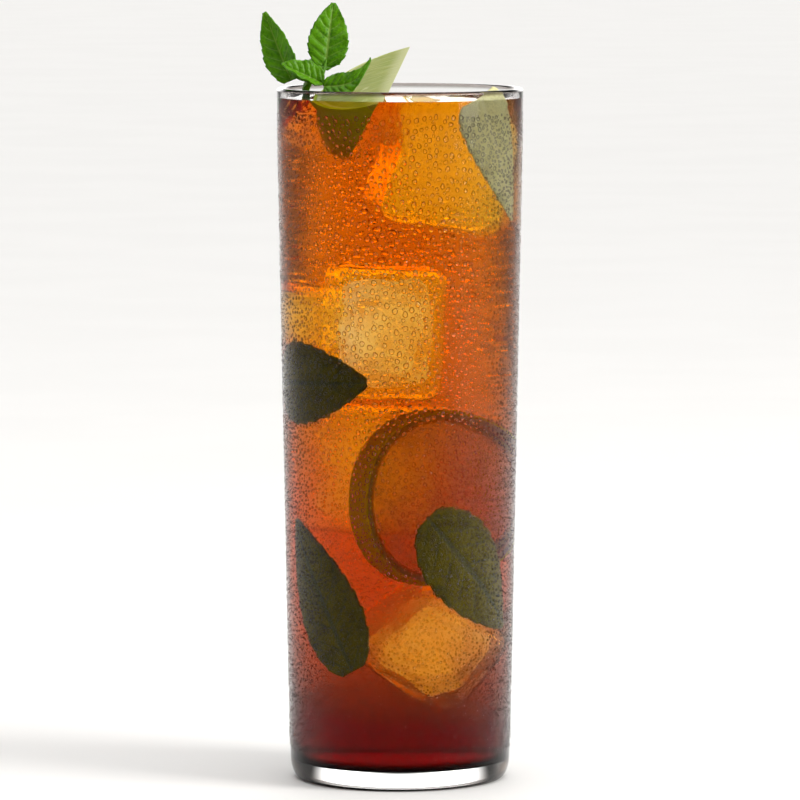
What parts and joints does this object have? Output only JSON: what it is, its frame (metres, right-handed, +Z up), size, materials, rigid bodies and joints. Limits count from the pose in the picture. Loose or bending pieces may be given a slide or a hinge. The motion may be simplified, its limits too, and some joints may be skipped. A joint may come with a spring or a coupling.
{
  "type": "iced cocktail in a highball glass",
  "caption": "Tall straight glass filled with an amber-red iced drink, garnished with a mint sprig, a lime wedge, an ice cube and a mint leaf inside the wall",
  "frame": {"origin": "the centre of the glass's flat underside", "axes": "+Z up along the glass's axis, -Y towards the front, +X to the right as seen from the front"},
  "size_m": [0.0662, 0.062, 0.196],
  "materials": {
    "clear_glass": "clear soda-lime glass, smooth, beaded with condensation outside",
    "amber_drink": "clear amber-red liquid",
    "lime": "fresh lime: glossy pitted rind, white pith, wet pale flesh",
    "ice": "clear ice with a cloudy middle, wet melted edges",
    "mint": "fresh mint leaf, soft sheen, sunk veins",
    "water": "clear water drops and small bubbles"
  },
  "bodies": {
    "root": {"glass": "clear_glass", "drink": "amber_drink", "lime_wedge": "lime", "ice_cube_top": "ice", "mint_leaf_side": "mint", "mint_sprig": "mint"}
  },
  "joints": []
}
